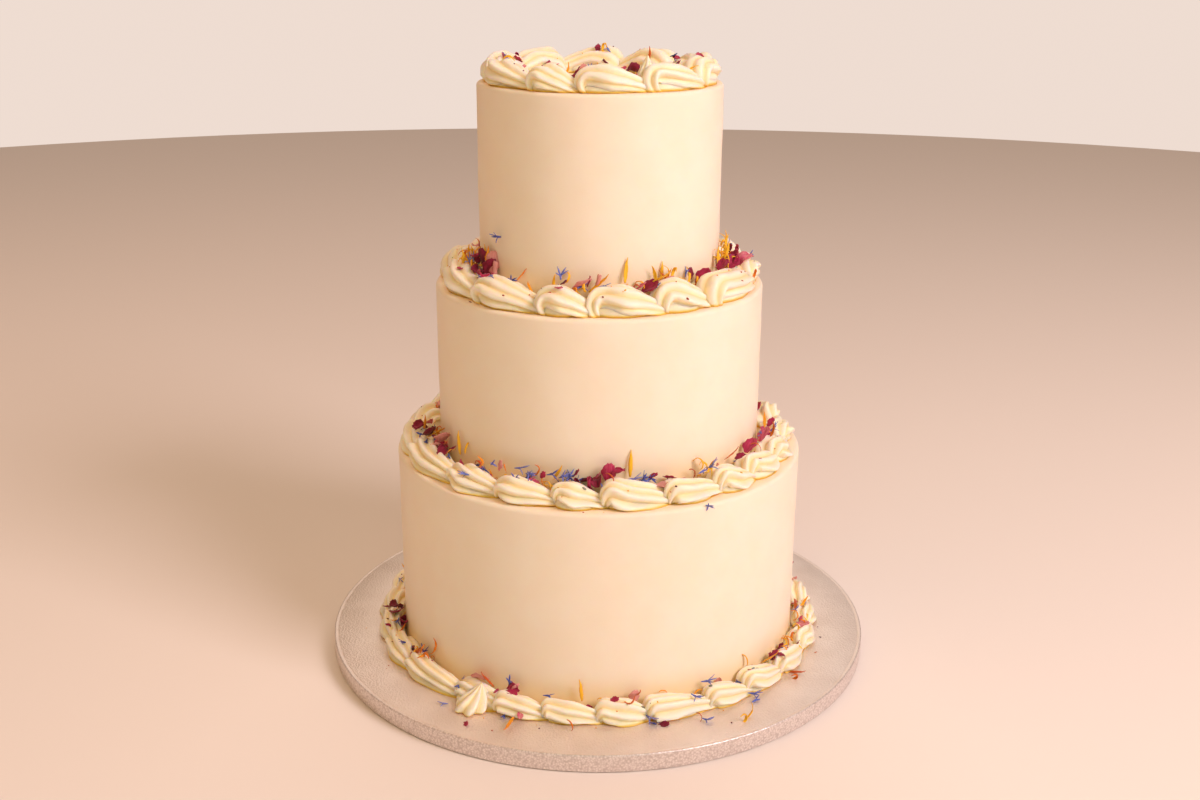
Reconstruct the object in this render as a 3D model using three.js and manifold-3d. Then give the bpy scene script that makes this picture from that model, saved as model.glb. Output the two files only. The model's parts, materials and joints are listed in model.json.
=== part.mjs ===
// A three-tier buttercream wedding cake on a round drum board, with a piped shell border
// at the foot of the cake and round the top edge of every tier.
// Millimetres, +Z up, origin at the centre of the board's underside.

import * as THREE from "three";
import { mergeVertices } from "three/addons/utils/BufferGeometryUtils.js";
import Module from "manifold-3d";

const wasm = await Module();
wasm.setup();

// Driving dimensions.
const BOARD_RADIUS = 177.8; // a 14-inch drum
const BOARD_THICKNESS = 11;
const BOARD_EDGE = 0.8; // rounding of the foil where it turns over the edge
const TIER_EDGE = 2.5; // rounding of the icing at the top edge of a tier
const BOTTOM_TIER = { radius: 130.5, height: 127 }; // a 10-inch cake and its icing
const MIDDLE_TIER = { radius: 103, height: 107 }; // an 8-inch cake and its icing
const TOP_TIER = { radius: 75, height: 122 }; // a 6-inch cake, iced thinly
const WALL_GAP = 0.3; // between a border and the wall it is piped against
const RIDGES = 5; // lobes that the star nozzle leaves on a shell
const ROUND_SEGMENTS = 56; // facets round a tier
const EDGE_STEPS = 2; // facets across a rounded edge
const SHELL_ROWS = 5; // facets along a shell
const OVERLAP = 1.36; // a shell's length over its share of the ring
const FINISHING_TURN = -1.1; // turn of the finishing shell, in radians

// Levels of the faces that the pieces rest on.
const BOARD_TOP = BOARD_THICKNESS;
const BOTTOM_TOP = BOARD_TOP + BOTTOM_TIER.height;
const MIDDLE_TOP = BOTTOM_TOP + MIDDLE_TIER.height;
const TOP_TOP = MIDDLE_TOP + TOP_TIER.height;

// The borders. `starts` are the directions, in degrees, in which the first shells begin, as
// uneven as a hand pipes them; `count` is the number of shells in the whole ring, and
// `finishing` is the shell that the piper ended with, whose tail points outwards.
const BORDERS = [
  {
    name: "piped_border_base",
    level: BOARD_TOP,
    wall: BOTTOM_TIER.radius,
    radius: 140,
    width: 19.5,
    height: 13.5,
    starts: [-147, -128, -116, -104, -91, -79, -63, -51, -38, -24],
    count: 27,
    finishing: 1,
  },
  {
    name: "piped_border_bottom",
    level: BOTTOM_TOP,
    wall: MIDDLE_TIER.radius,
    radius: 114.5,
    width: 24,
    height: 15,
    starts: [-163, -139, -121, -104, -90, -72, -55, -41, -25],
    count: 21,
  },
  {
    name: "piped_border_middle",
    level: MIDDLE_TOP,
    wall: TOP_TIER.radius,
    radius: 88,
    width: 25,
    height: 17.5,
    starts: [-174, -143, -114, -95, -70, -49, -14],
    count: 13,
  },
  {
    name: "piped_border_top",
    level: TOP_TOP,
    wall: 0,
    radius: 61,
    width: 24,
    height: 16,
    starts: [-175, -130, -104, -69, -33],
    count: 10,
  },
];

// Materials.
const buttercream = new THREE.MeshStandardMaterial({ color: 0xf7e3c0, roughness: 0.55, metalness: 0 });
const piping = new THREE.MeshStandardMaterial({ color: 0xfbe9c2, roughness: 0.5, metalness: 0 });
const foil = new THREE.MeshStandardMaterial({ color: 0xc9c6c4, roughness: 0.35, metalness: 0.9 });

// A repeatable number from -1 to 1 for the shell `index`; `salt` names what it varies.
function uneven(index, salt) {
  const wave = Math.sin(index * 12.9898 + salt * 78.233) * 43758.5453;
  return 2 * (wave - Math.floor(wave)) - 1;
}

// A solid disc from `bottom` to `top` whose upper edge is a quarter round of radius `edge`,
// and whose lower edge is rounded by `foot`.
function roundedDisc(radius, bottom, top, edge, foot) {
  const profile = [new THREE.Vector2(0, bottom)];
  if (foot > 0) {
    profile.push(new THREE.Vector2(radius - foot, bottom));
    profile.push(new THREE.Vector2(radius, bottom + foot));
  } else {
    profile.push(new THREE.Vector2(radius, bottom));
  }
  for (let step = 0; step <= EDGE_STEPS; step += 1) {
    const angle = (step / EDGE_STEPS) * (Math.PI / 2);
    const reach = radius - edge + edge * Math.cos(angle);
    profile.push(new THREE.Vector2(reach, top - edge + edge * Math.sin(angle)));
  }
  profile.push(new THREE.Vector2(0, top));
  const geometry = new THREE.LatheGeometry(profile, ROUND_SEGMENTS);
  geometry.rotateX(Math.PI / 2);
  return geometry;
}

// One shell, lying along +X from its bulb to the tip of its tail, with +Y towards the middle
// of the cake. It is flat where it rests, at Z = 0, and reaches no further than `inner`
// towards the wall that it is piped against. A sphere's meridians become the ridges: they
// leave the foot of the bulb, climb over it and run together in the tail.
function shell({ length, width, height, inner, lean }) {
  const geometry = new THREE.SphereGeometry(1, 2 * RIDGES, SHELL_ROWS);
  const points = geometry.getAttribute("position");
  const groove = 0.2; // depth of a crease, as a share of the radius
  const sunk = 0.12; // how much of the round section is lost at the foot, as a share of it
  for (let index = 0; index < points.count; index += 1) {
    const along = Math.acos(THREE.MathUtils.clamp(points.getY(index), -1, 1)) / Math.PI;
    const meridian = Math.atan2(points.getZ(index), points.getX(index));
    const around = meridian + Math.PI / (2 * RIDGES); // brings a ridge to the crest
    const lobe = 1 - groove * (0.5 - 0.5 * Math.cos(RIDGES * (around - Math.PI / 2)));
    const swell = lobe * Math.pow(Math.sin(Math.PI * Math.pow(along, 0.62)), 0.7);
    const climb = THREE.MathUtils.lerp(0.75, -0.2, along);
    const spine = length * (0.06 + 0.94 * along);
    const crest = height * (0.5 - sunk - 0.3 * Math.pow(along, 1.5));
    const rise = height * (0.5 + sunk) * swell * Math.sin(around);
    const across = (width / 2) * swell * Math.cos(around) + lean * along * width;
    points.setXYZ(
      index,
      spine - rise * Math.sin(climb),
      Math.min(across, inner),
      Math.max(crest + rise * Math.cos(climb), 0),
    );
  }
  geometry.computeBoundingBox();
  geometry.scale(1, 1, height / geometry.boundingBox.max.z);
  return geometry;
}

// Turns a shell about its own bulb, then bends it round the cake from `azimuth`, in radians.
function bendRound(geometry, radius, azimuth, turn) {
  geometry.rotateZ(turn);
  const points = geometry.getAttribute("position");
  for (let index = 0; index < points.count; index += 1) {
    const angle = azimuth + points.getX(index) / radius;
    const reach = radius - points.getY(index);
    points.setXYZ(index, reach * Math.cos(angle), reach * Math.sin(angle), points.getZ(index));
  }
  return geometry;
}

// Closed geometry to a manifold solid, and back.
function toSolid(geometry) {
  const bare = geometry.clone();
  bare.deleteAttribute("normal");
  bare.deleteAttribute("uv");
  const merged = mergeVertices(bare, 1e-4);
  return new wasm.Manifold(
    new wasm.Mesh({
      numProp: 3,
      vertProperties: Float32Array.from(merged.getAttribute("position").array),
      triVerts: Uint32Array.from(merged.getIndex().array),
    }),
  );
}

function toGeometry(solid) {
  const mesh = solid.getMesh();
  const geometry = new THREE.BufferGeometry();
  geometry.setAttribute("position", new THREE.BufferAttribute(mesh.vertProperties, 3));
  geometry.setIndex(new THREE.BufferAttribute(mesh.triVerts, 1));
  geometry.computeVertexNormals();
  return geometry;
}

// The direction in which each shell of a ring begins, in degrees, and where the ring closes:
// the shells after the listed ones share the rest of the ring evenly.
function shellStarts(border) {
  const starts = [...border.starts];
  const last = starts[starts.length - 1];
  const rest = border.count - starts.length + 1;
  const step = (starts[0] + 360 - last) / rest;
  for (let index = 1; index <= rest; index += 1) {
    starts.push(last + index * step);
  }
  return starts;
}

// A whole ring of shells, each with its tail under the next bulb, resting at Z = 0.
function pipedBorder(border) {
  const starts = shellStarts(border);
  const inner = border.wall > 0 ? border.radius - border.wall - WALL_GAP : border.width;
  let ring = null;
  for (let index = 0; index < border.count; index += 1) {
    const azimuth = THREE.MathUtils.degToRad(starts[index]);
    const share = THREE.MathUtils.degToRad(starts[index + 1] - starts[index]);
    const width = border.width * (1 + 0.06 * uneven(index, 1));
    const height = border.height * (1 + 0.06 * uneven(index, 2));
    const lean = 0.05 * uneven(index, 3);
    const length = OVERLAP * share * border.radius;
    const long = shell({ length, width, height, inner, lean });
    const piece = toSolid(bendRound(long, border.radius, azimuth, 0));
    ring = ring ? ring.add(piece) : piece;
    if (index === border.finishing) {
      const short = shell({ length: 1.1 * width, width, height, inner, lean: 0 });
      ring = ring.add(toSolid(bendRound(short, border.radius, azimuth, FINISHING_TURN)));
    }
  }
  return toGeometry(ring);
}

const part = new THREE.Group();

function addMesh(name, geometry, material, level) {
  const mesh = new THREE.Mesh(geometry, material);
  mesh.name = name;
  mesh.position.z = level;
  part.add(mesh);
}

const boardDisc = roundedDisc(BOARD_RADIUS, 0, BOARD_THICKNESS, BOARD_EDGE, BOARD_EDGE);
addMesh("cake_board", boardDisc, foil, 0);

const tiers = [
  { name: "tier_bottom", size: BOTTOM_TIER, level: BOARD_TOP },
  { name: "tier_middle", size: MIDDLE_TIER, level: BOTTOM_TOP },
  { name: "tier_top", size: TOP_TIER, level: MIDDLE_TOP },
];
for (const { name, size, level } of tiers) {
  const geometry = roundedDisc(size.radius, 0, size.height, TIER_EDGE, 0);
  addMesh(name, geometry, buttercream, level);
}

for (const border of BORDERS) {
  addMesh(border.name, pipedBorder(border), piping, border.level);
}

export default part;
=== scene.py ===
# %% [markdown]
# # A three-tier buttercream wedding cake
# The cake stands on a foil covered drum. Three round tiers are iced in smoothed buttercream,
# a border of piped shells runs round the foot of the cake and round every ledge, and dried
# rose, cornflower and marigold petals lie in the borders.
#
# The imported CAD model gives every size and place. The nodes in it are coarse solids for the
# physics, so each one is replaced here by a finer piece that stands in the same space.

# %% The frame
import json
import math
import random

import bpy
import numpy as np
from mathutils import Matrix, Vector
from mathutils.bvhtree import BVHTree

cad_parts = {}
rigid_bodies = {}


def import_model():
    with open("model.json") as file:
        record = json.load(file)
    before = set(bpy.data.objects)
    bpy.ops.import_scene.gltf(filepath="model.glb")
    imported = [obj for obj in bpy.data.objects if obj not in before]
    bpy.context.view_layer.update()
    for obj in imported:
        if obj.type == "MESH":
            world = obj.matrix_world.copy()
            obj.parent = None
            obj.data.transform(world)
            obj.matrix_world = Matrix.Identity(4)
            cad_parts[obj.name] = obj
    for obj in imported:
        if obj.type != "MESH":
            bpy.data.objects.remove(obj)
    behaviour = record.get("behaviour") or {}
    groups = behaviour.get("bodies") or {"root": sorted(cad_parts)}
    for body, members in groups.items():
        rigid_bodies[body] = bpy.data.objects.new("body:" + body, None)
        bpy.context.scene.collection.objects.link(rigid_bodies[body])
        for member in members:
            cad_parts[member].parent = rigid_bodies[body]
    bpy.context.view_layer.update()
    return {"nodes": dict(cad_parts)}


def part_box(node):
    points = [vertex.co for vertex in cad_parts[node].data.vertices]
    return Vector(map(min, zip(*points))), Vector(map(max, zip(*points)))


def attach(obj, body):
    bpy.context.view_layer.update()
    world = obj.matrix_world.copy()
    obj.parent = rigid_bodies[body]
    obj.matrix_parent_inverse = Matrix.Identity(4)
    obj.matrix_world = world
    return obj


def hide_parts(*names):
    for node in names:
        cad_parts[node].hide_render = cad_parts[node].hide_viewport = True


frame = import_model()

MM = 0.001
print("nodes:", ", ".join(sorted(frame["nodes"])))

# %% [markdown]
# ## Camera
# The cake is seen from a little above its middle, from the front, which is -Y. A camera of
# moderate focal length keeps the tiers' walls nearly upright in the picture. The quarter
# degree of roll is the hand that held the camera. The standard view shows the cream colours as
# they are picked; the filmic views would turn pale buttercream grey.

# %% The camera
EYE = (0.0, -0.8605, 0.45123)
LOOKING_DOWN = math.radians(18.4832)
ROLL = math.radians(0.2237)

bpy.ops.object.camera_add(location=EYE)
camera = bpy.context.object
camera.name = "camera"
tilt = Matrix.Rotation(math.pi / 2 - LOOKING_DOWN, 4, "X")
camera.rotation_euler = (tilt @ Matrix.Rotation(ROLL, 4, "Z")).to_euler()
camera.data.lens = 41.794
camera.data.sensor_width = 36
camera.data.shift_x = 0.001
camera.data.clip_end = 100
bpy.context.scene.camera = camera
bpy.context.scene.view_settings.view_transform = "Standard"
print("camera at", EYE, "looking down by", round(math.degrees(LOOKING_DOWN), 1), "degrees")

# %% [markdown]
# ## Light
# One large soft light stands to the right of the camera and above it, so the tiers' right
# sides are bright and their left sides fall off into a warm shade. A weak light from the front
# is slightly green, which takes the pink out of the walls' middle. A weak orange light from
# the left, a soft sun from behind and a warm world keep the shade open. The floor is pale.

# %% A helper for the lights
CENTRE = Vector((0, 0, 0.19))


def soft_light(name, azimuth, elevation, distance, size, watts, colour):
    """An area light that faces the middle of the cake."""
    turn, rise = math.radians(azimuth), math.radians(elevation)
    level = math.cos(rise)
    away = Vector((math.cos(turn) * level, math.sin(turn) * level, math.sin(rise)))
    bpy.ops.object.light_add(type="AREA", location=CENTRE + away * distance)
    light = bpy.context.object
    light.name = name
    light.rotation_euler = away.to_track_quat("Z", "Y").to_euler()
    light.data.size = size
    light.data.energy = watts
    light.data.color = colour


# %% The lights
for name, azimuth, elevation, distance, size, watts, colour in [
    ("key_light", -38, 34, 2.2, 0.9, 37.5, (1.0, 0.855, 0.875)),
    ("front_light", -95, 28, 2.6, 1.6, 9, (0.72, 1.0, 0.76)),
    ("left_light", -165, 55, 1.9, 1.6, 9.5, (1.0, 0.52, 0.24)),
]:
    soft_light(name, azimuth, elevation, distance, size, watts, colour)

bpy.ops.object.light_add(type="SUN", rotation=(math.radians(-42), 0, 0))
back_light = bpy.context.object
back_light.name = "back_light"
back_light.data.energy = 0.7
back_light.data.angle = math.radians(50)
back_light.data.color = (1.0, 0.88, 0.80)

# %% The studio round the cake
BOUNCE = (1.0, 0.68, 0.46, 1)  # warm light that pale walls throw back
BACKDROP = (0.86, 0.72, 0.64, 1)  # what the eye sees of those walls

world = bpy.data.worlds.new("studio")
bpy.context.scene.world = world
world.use_nodes = True
sky = world.node_tree
sky.nodes.clear()
seen = sky.nodes.new("ShaderNodeLightPath").outputs["Is Camera Ray"]
mixed = sky.nodes.new("ShaderNodeMixShader")
sky.links.new(seen, mixed.inputs["Fac"])
for socket, colour, strength in ((1, BOUNCE, 0.24), (2, BACKDROP, 1.0)):
    glow = sky.nodes.new("ShaderNodeBackground")
    glow.inputs["Color"].default_value = colour
    glow.inputs["Strength"].default_value = strength
    sky.links.new(glow.outputs[0], mixed.inputs[socket])
sky.links.new(mixed.outputs[0], sky.nodes.new("ShaderNodeOutputWorld").inputs["Surface"])

# %% [markdown]
# ## Colour and node helpers
# Colours are picked as sRGB hex values, and Blender's sockets want linear numbers, so one
# function turns the first into the second. Another adds a node with its settings and links,
# and a third starts a material from the shader that nearly every substance here uses. Short
# ones add the nodes that come back in most materials.

# %% Hex to linear
def linear(hex_colour):
    """An sRGB hex colour such as "#FBE9C2" as linear red, green, blue and alpha."""
    parts = [int(hex_colour[i : i + 2], 16) / 255 for i in (1, 3, 5)]
    return tuple(p / 12.92 if p <= 0.04045 else ((p + 0.055) / 1.055) ** 2.4 for p in parts) + (1.0,)


# %% Add a node
def add_node(material, kind, inputs=None, **settings):
    """Adds a node; a value in `inputs` is a number, a colour or another node's output."""
    tree = material.node_tree
    node = tree.nodes.new(kind)
    for key, value in settings.items():
        setattr(node, key, value)
    for key, value in (inputs or {}).items():
        if isinstance(value, bpy.types.NodeSocket):
            tree.links.new(value, node.inputs[key])
        else:
            node.inputs[key].default_value = value
    return node


# %% Start a material
def substance(name, **shader):
    """A material with one Principled shader, whose sockets are given by name."""
    material = bpy.data.materials.new(name)
    material.use_nodes = True
    tree = material.node_tree
    tree.nodes.clear()
    sockets = {key.replace("_", " "): value for key, value in shader.items()}
    body = add_node(material, "ShaderNodeBsdfPrincipled", sockets)
    out = add_node(material, "ShaderNodeOutputMaterial")
    tree.links.new(body.outputs[0], out.inputs["Surface"])
    return material, body


def plug(material, output, socket):
    """Links an output to a socket."""
    material.node_tree.links.new(output, socket)


def ramp(material, factor, stops):
    """A colour ramp through (position, hex colour) stops."""
    node = add_node(material, "ShaderNodeValToRGB", {"Fac": factor})
    elements = node.color_ramp.elements
    while len(elements) < len(stops):
        elements.new(0.5)
    for element, (position, colour) in zip(elements, stops):
        element.position = position
        element.color = linear(colour)
    return node.outputs["Color"]


def object_place(material):
    """Where a point is on its own object."""
    return add_node(material, "ShaderNodeTexCoord").outputs["Object"]


def attribute(material, name):
    """A number that every vertex carries."""
    return add_node(material, "ShaderNodeAttribute", attribute_name=name).outputs["Fac"]


def noise(material, place, scale, detail):
    """A cloudy pattern from 0 to 1."""
    inputs = {"Vector": place, "Scale": scale, "Detail": detail}
    return add_node(material, "ShaderNodeTexNoise", inputs).outputs["Fac"]


def bump(material, height, strength, distance, **more):
    """The direction of a surface whose relief is `height`."""
    inputs = {"Height": height, "Strength": strength, "Distance": distance, **more}
    return add_node(material, "ShaderNodeBump", inputs).outputs["Normal"]


# %% The floor
bpy.ops.object.select_all(action="DESELECT")
bpy.ops.mesh.primitive_circle_add(vertices=128, radius=2.6, fill_type="NGON", location=(0, 0, -0.0005))
floor = bpy.context.object
floor.name = "floor"
floor_paint, _ = substance("pale_studio_floor", Base_Color=linear("#F1E6DE"), Roughness=0.9)
floor.data.materials.append(floor_paint)
print("floor under the cake at z = 0")

# %% [markdown]
# ## Smoothed buttercream
# The walls are buttercream that was scraped round on a turntable and smoothed with a warm
# blade. It is fat and sugar, so light goes a little way in and comes out warmer, and its shine
# is soft. The blade leaves very fine grain and faint patches. Close to the borders a yellow
# glow is painted into the colour, at the foot of each wall and on the ledges.

# %% Buttercream on the walls
MARK = 1 / (22 * MM)  # a faint patch left by the blade, 22 mm across
GRAIN = 1 / (1.1 * MM)  # sugar grain, drawn at 1.1 mm so that it shows

buttercream, wall = substance(
    "smoothed_buttercream", Roughness=0.52, Subsurface_Weight=0.25, Subsurface_Scale=0.004, IOR=1.45,
    Specular_IOR_Level=0.35,
)
wall.inputs["Subsurface Radius"].default_value = (1.0, 0.55, 0.25)
place = object_place(buttercream)
blade = noise(buttercream, place, MARK, 3.0)
grain = noise(buttercream, place, GRAIN, 2.0)
cream = ramp(buttercream, blade, [(0.35, "#FBE9D2"), (0.65, "#FCECD7")])
# The cream turns yellow where the foot attribute says: a painted glow near the borders
foot = attribute(buttercream, "foot")
cream_with_painted_glow = add_node(buttercream, "ShaderNodeMix", {"Factor": foot, "A": cream}, data_type="RGBA")
cream_with_painted_glow.inputs["B"].default_value = linear("#FBDD9A")
plug(buttercream, cream_with_painted_glow.outputs["Result"], wall.inputs["Base Color"])
rough = bump(buttercream, grain, 0.10, 0.0003)
soft = bump(buttercream, blade, 0.09, 0.002, Normal=rough)
plug(buttercream, soft, wall.inputs["Normal"])

# %% [markdown]
# ## Piped buttercream
# The same buttercream, pushed through a star nozzle. Its ridges are nearly white and its
# creases glow yellow, because light that enters a crease bounces in it many times; that glow is
# painted into the colour. Every shell carries a painted glow mask: 0 on a ridge and 1 at the bottom of a
# crease.

# %% Buttercream from the nozzle
piping, shell_body = substance(
    "piped_buttercream", Roughness=0.42, Subsurface_Weight=0.45, Subsurface_Scale=0.005, IOR=1.45,
    Specular_IOR_Level=0.4,
)
shell_body.inputs["Subsurface Radius"].default_value = (1.0, 0.6, 0.25)
place = object_place(piping)
groove = attribute(piping, "groove")
# Cream on the ridges, running into a painted yellow glow deeper in the creases
CREAM_AND_PAINTED_GLOW = [(0.0, "#FEF0DE"), (0.32, "#FEE7B4"), (0.66, "#FDCB5E"), (1.0, "#FAB838")]
plug(piping, ramp(piping, groove, CREAM_AND_PAINTED_GLOW), shell_body.inputs["Base Color"])
drag = noise(piping, place, 1 / (1.6 * MM), 3.0)
plug(piping, bump(piping, drag, 0.18, 0.0004), shell_body.inputs["Normal"])

# %% [markdown]
# ## Drum foil
# A cake drum is board wrapped in silver foil paper. The foil is embossed with a fine grain,
# so it scatters light like brushed metal without a direction. The strip round its edge is the
# same foil, folded over; bright specks and darker edges that follow its embossing are painted
# glints and painted shade. The warm pink in both foils' colours is a painted reflection of a warm room.

# %% Foil
foil, foil_body = substance("embossed_silver_foil", Metallic=0.6, Roughness=0.5)
place = object_place(foil)
emboss = add_node(foil, "ShaderNodeTexVoronoi", {"Vector": place, "Scale": 1 / (1.3 * MM)})
cloud = noise(foil, place, 1 / (30 * MM), 4.0)
# Silver with a painted warm pink reflection; the clouds change its tone at random
silver_with_painted_light = ramp(foil, cloud, [(0.3, "#E6D8CE"), (0.7, "#F3E8E0")])
plug(foil, silver_with_painted_light, foil_body.inputs["Base Color"])
plug(foil, bump(foil, emboss.outputs["Distance"], 0.6, 0.0005), foil_body.inputs["Normal"])

rim_foil, rim_body = substance("drum_edge_foil", Metallic=0.6, Roughness=0.38)
place = object_place(rim_foil)
glint_cells = add_node(rim_foil, "ShaderNodeTexVoronoi", {"Vector": place, "Scale": 1 / (1.3 * MM)})
# Bright at each emboss cell's middle, darker towards its edge: painted glints and painted shade
silver_with_painted_light = ramp(rim_foil, glint_cells.outputs["Distance"], [(0.0, "#FBF1EC"), (0.8, "#D2C4BE")])
plug(rim_foil, silver_with_painted_light, rim_body.inputs["Base Color"])
plug(rim_foil, bump(rim_foil, glint_cells.outputs["Distance"], 0.4, 0.0004), rim_body.inputs["Normal"])

# %% [markdown]
# ## Helpers for modelling
# Every piece starts from a primitive and is shaped in edit mode. These helpers clear the
# selection before a primitive is added, pick vertices, edges or faces by their place, and
# apply a modifier as the Apply button does.

# %% Selecting by place
def start_piece():
    """Nothing is selected, so that operators act on the new primitive alone."""
    if bpy.context.object and bpy.context.object.mode != "OBJECT":
        bpy.ops.object.mode_set(mode="OBJECT")
    bpy.ops.object.select_all(action="DESELECT")


def pick(piece, kind, test):
    """In edit mode, selects the vertices, edges or faces whose centre and direction pass `test`."""
    bpy.ops.mesh.select_all(action="DESELECT")
    bpy.ops.mesh.select_mode(type=kind)
    bpy.ops.object.mode_set(mode="OBJECT")
    mesh = piece.data
    if kind == "VERT":
        for vertex in mesh.vertices:
            vertex.select = bool(test(vertex.co, vertex.normal))
    elif kind == "EDGE":
        for edge in mesh.edges:
            a, b = (mesh.vertices[i].co for i in edge.vertices)
            edge.select = bool(test((a + b) / 2, (b - a).normalized()))
    else:
        for face in mesh.polygons:
            face.select = bool(test(face.center, face.normal))
    bpy.ops.object.mode_set(mode="EDIT")


def use_modifier(piece, kind, **settings):
    """Adds a modifier and applies it."""
    bpy.context.view_layer.objects.active = piece
    modifier = piece.modifiers.new(kind.lower(), kind)
    for key, value in settings.items():
        setattr(modifier, key, value)
    bpy.ops.object.modifier_apply(modifier=modifier.name)


def wobble(piece, name, grain, strength, **settings):
    """Moves a surface in and out by a clouds pattern of the given grain."""
    clouds = bpy.data.textures.new(name, "CLOUDS")
    clouds.noise_scale = grain
    for key, value in settings.items():
        setattr(clouds, key, value)
    use_modifier(
        piece, "DISPLACE", texture=clouds, strength=strength, mid_level=0.5, texture_coords="LOCAL"
    )


def settle(piece, name, slot, *nodes):
    """Names a finished piece, puts its place into its mesh and lets it ride on the cake."""
    piece.name = name
    piece.data.name = name
    bpy.ops.object.select_all(action="DESELECT")
    piece.select_set(True)
    bpy.context.view_layer.objects.active = piece
    bpy.ops.object.transform_apply(location=True, rotation=True, scale=True)
    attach(piece, "root")
    if nodes:
        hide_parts(*nodes)
    faces = len(piece.data.polygons)
    print(name, "has", faces, "faces and", len(piece.data.loops) - 2 * faces, "triangles")


# %% [markdown]
# ## The drum
# A real drum is a thick round of board. The foil is turned over its edge, and a second foil
# strip is glued round it, so a fine line shows just inside the top edge. A cylinder with its
# edges bevelled makes the board, and an inset that is pressed in a little makes the line.

# %% The drum
low, high = (Vector(corner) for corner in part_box("cake_board"))
board_radius = 177.8 * MM

start_piece()
bpy.ops.mesh.primitive_cylinder_add(
    vertices=256, radius=board_radius, depth=high.z - low.z, location=(0, 0, (low.z + high.z) / 2),
    end_fill_type="NGON",
)
drum = bpy.context.object
bpy.ops.object.transform_apply(location=True)
bpy.ops.object.mode_set(mode="EDIT")
pick(drum, "EDGE", lambda middle, along: abs(along.z) < 0.5)
bpy.ops.mesh.bevel(offset=0.8 * MM, segments=3, affect="EDGES")
pick(drum, "FACE", lambda middle, normal: normal.z > 0.999 and middle.xy.length < 0.01)
bpy.ops.mesh.inset(thickness=1.2 * MM)
bpy.ops.mesh.inset(thickness=0.5 * MM, depth=-0.25 * MM)
bpy.ops.mesh.inset(thickness=0.4 * MM, depth=0.25 * MM)
for ring in range(6):
    bpy.ops.mesh.inset(thickness=24 * MM)
bpy.ops.mesh.poke()
bpy.ops.object.mode_set(mode="OBJECT")
drum.data.materials.append(foil)
drum.data.materials.append(rim_foil)
for face in drum.data.polygons:
    face.material_index = 1 if face.center.xy.length > board_radius - 0.9 * MM else 0
bpy.ops.object.shade_smooth_by_angle(angle=math.radians(35))
settle(drum, "drum", "foil_board", "cake_board")

# %% [markdown]
# ## The tiers
# Each tier is a round cake under a few millimetres of buttercream. The wall is scraped
# upright, and the top edge is pulled in with the blade, so it is crisp but never quite even.
# A cylinder gets a bevelled rim, rings round its wall and top, and then a gentle wobble from
# a displacement that follows a clouds pattern. At the foot the blade leaves a slight flare.

# %% One tier
RIM = 2.2 * MM
FLARE_HEIGHT = 12  # mm that the flare reaches up the wall
# The yellower butter at a wall's foot is a painted glow; GLOW_HEIGHT is how far up it reaches
GLOW_HEIGHT = 26  # mm that the yellower butter reaches up the wall


def make_tier(node, name, radius, neighbour):
    """A tier in the place of its CAD node; `neighbour` is the radius of what stands on it."""
    low, high = (Vector(corner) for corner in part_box(node))
    start_piece()
    bpy.ops.mesh.primitive_cylinder_add(
        vertices=224, radius=radius, depth=high.z - low.z, location=(0, 0, (low.z + high.z) / 2)
    )
    tier = bpy.context.object
    bpy.ops.object.transform_apply(location=True)
    bpy.ops.object.mode_set(mode="EDIT")
    pick(tier, "EDGE", lambda middle, along: abs(along.z) > 0.9)
    bpy.ops.mesh.subdivide(number_cuts=36)
    pick(tier, "EDGE", lambda middle, along: middle.z > high.z - 1e-5)
    bpy.ops.mesh.bevel(offset=RIM, segments=5, affect="EDGES")
    pick(tier, "FACE", lambda middle, normal: normal.z > 0.999 and middle.xy.length < 0.01)
    for ring in range(9):
        bpy.ops.mesh.inset(thickness=(radius - RIM) / 12)
    bpy.ops.mesh.poke()
    pick(tier, "FACE", lambda middle, normal: normal.z < -0.999)
    bpy.ops.mesh.poke()
    bpy.ops.object.mode_set(mode="OBJECT")

    wobble(tier, name + "_wobble", 30 * MM, 0.7 * MM, noise_depth=1)

    foot = tier.data.attributes.new("foot", "FLOAT", "POINT")
    for vertex in tier.data.vertices:
        above = (vertex.co.z - low.z) / MM
        out = vertex.co.xy.length
        on_wall = out > radius * 0.9
        if on_wall and above < FLARE_HEIGHT:
            flare = 1 + 0.7 * MM * (1 - above / FLARE_HEIGHT) ** 2 / out
            vertex.co.x *= flare
            vertex.co.y *= flare
        if vertex.co.z < low.z + 0.1 * MM:
            vertex.co.z = low.z
        # Painted yellow glow: strong at the wall's foot, half as strong on the ledge under the border
        foot_glow = max(0.0, 1 - above / GLOW_HEIGHT) ** 1.5 if on_wall else 0.0
        ledge_glow = 1.0 if above > 20 and radius * 0.97 > out > neighbour else 0.0
        foot.data[vertex.index].value = max(0.9 * foot_glow, 0.5 * ledge_glow)
    tier.data.materials.append(buttercream)
    bpy.ops.object.shade_smooth_by_angle(angle=math.radians(40))
    settle(tier, name, "buttercream", node)


# %% The three tiers
make_tier("tier_bottom", "bottom_tier", 130.3 * MM, 103 * MM)
make_tier("tier_middle", "middle_tier", 102.8 * MM, 75 * MM)
make_tier("tier_top", "top_tier", 74.8 * MM, 44 * MM)

# %% [markdown]
# ## A rope from the star nozzle
# A shell is one short rope of buttercream. The nozzle's star mouth gives it deep flutes, the
# piper's hand swells it into a bulb and draws it out into a tail. It is modelled in the same
# order: first a straight fluted rope of unit size, extruded from a star, with the creases
# between its ridges kept sharp while the rest is subdivided. The hand's path comes after.
#
# A real shell is solid, but a rope that curls leaves a dark hole in its middle. So every shell
# also gets a foot: a ball that is squeezed to the shell's size and fills the space in the curl.

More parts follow.
